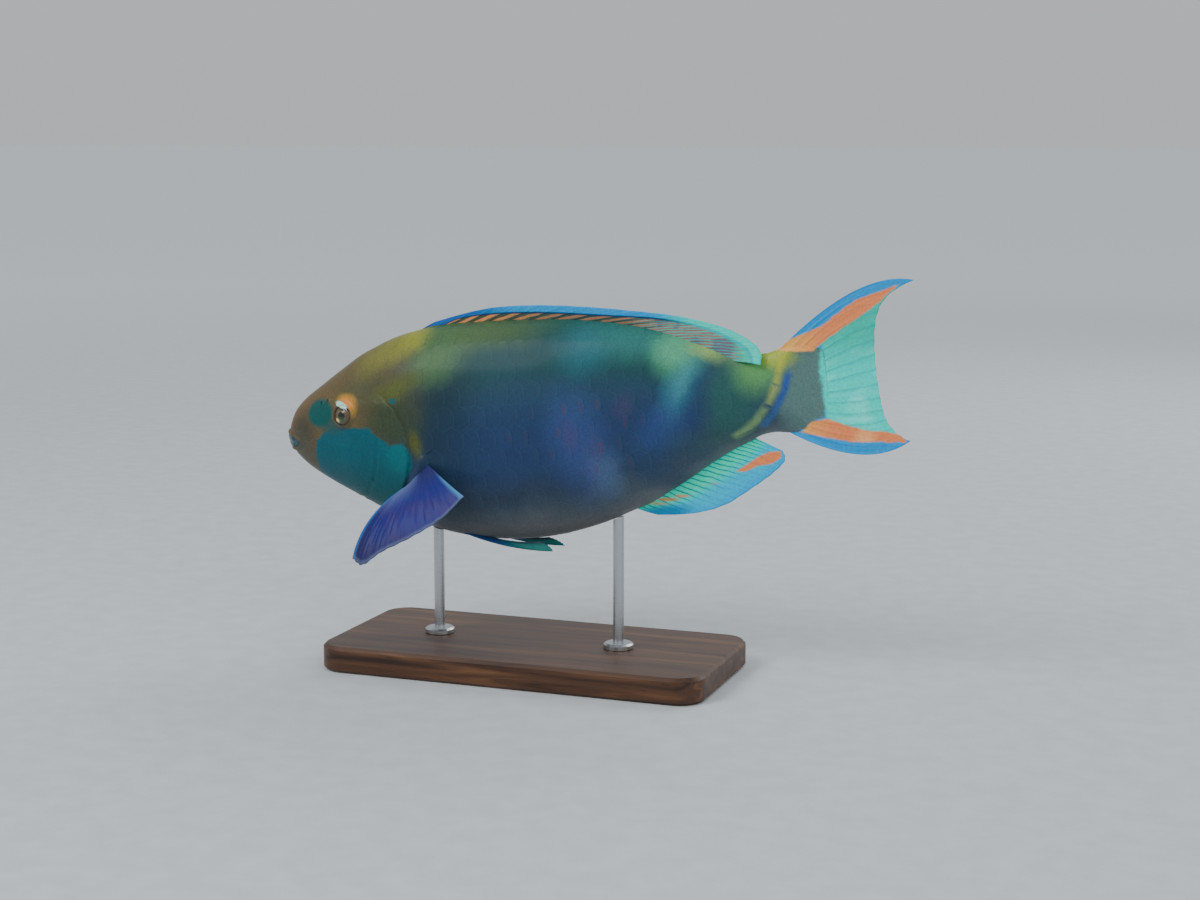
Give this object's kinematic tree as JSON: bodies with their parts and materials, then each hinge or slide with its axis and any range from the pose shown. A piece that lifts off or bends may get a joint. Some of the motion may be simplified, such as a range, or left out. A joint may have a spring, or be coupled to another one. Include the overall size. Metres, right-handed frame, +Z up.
{
  "type": "parrotfish display model",
  "caption": "Life-size still model of an adult male parrotfish, with rayed fins, gill covers, beak and eyes, held over a flat base by two short rods.",
  "frame": {"origin": "centre of the stand's underside, which rests on the table", "axes": "+X from the fish's snout towards its tail, +Y towards its right side, +Z up"},
  "size_m": [0.3886, 0.1248, 0.2395],
  "materials": {
    "skin": "satin, scaled, olive head, teal cheek, blue flank",
    "fin": "satin, turquoise with blue margins and orange bands",
    "pectoral_fin": "satin, violet blue",
    "beak": "smooth, blue green",
    "eye": "glossy, orange-brown iris round a dark pupil",
    "stand_wood": "dark, fine grain, satin varnish",
    "stand_steel": "brushed along the rod"
  },
  "bodies": {
    "root": {"head": "skin", "trunk": "skin", "tail_stem": "skin", "gill_cover_left": "skin", "gill_cover_right": "skin", "beak_upper": "beak", "beak_lower": "beak", "eye_left": "eye", "eye_right": "eye", "dorsal_fin": "fin", "anal_fin": "fin", "tail_fin": "fin", "pelvic_fin_left": "fin", "pelvic_fin_right": "fin", "pectoral_fin_left": "pectoral_fin", "pectoral_fin_right": "pectoral_fin", "stand_base": "stand_wood", "stand_rod_front": "stand_steel", "stand_rod_rear": "stand_steel"}
  },
  "joints": []
}
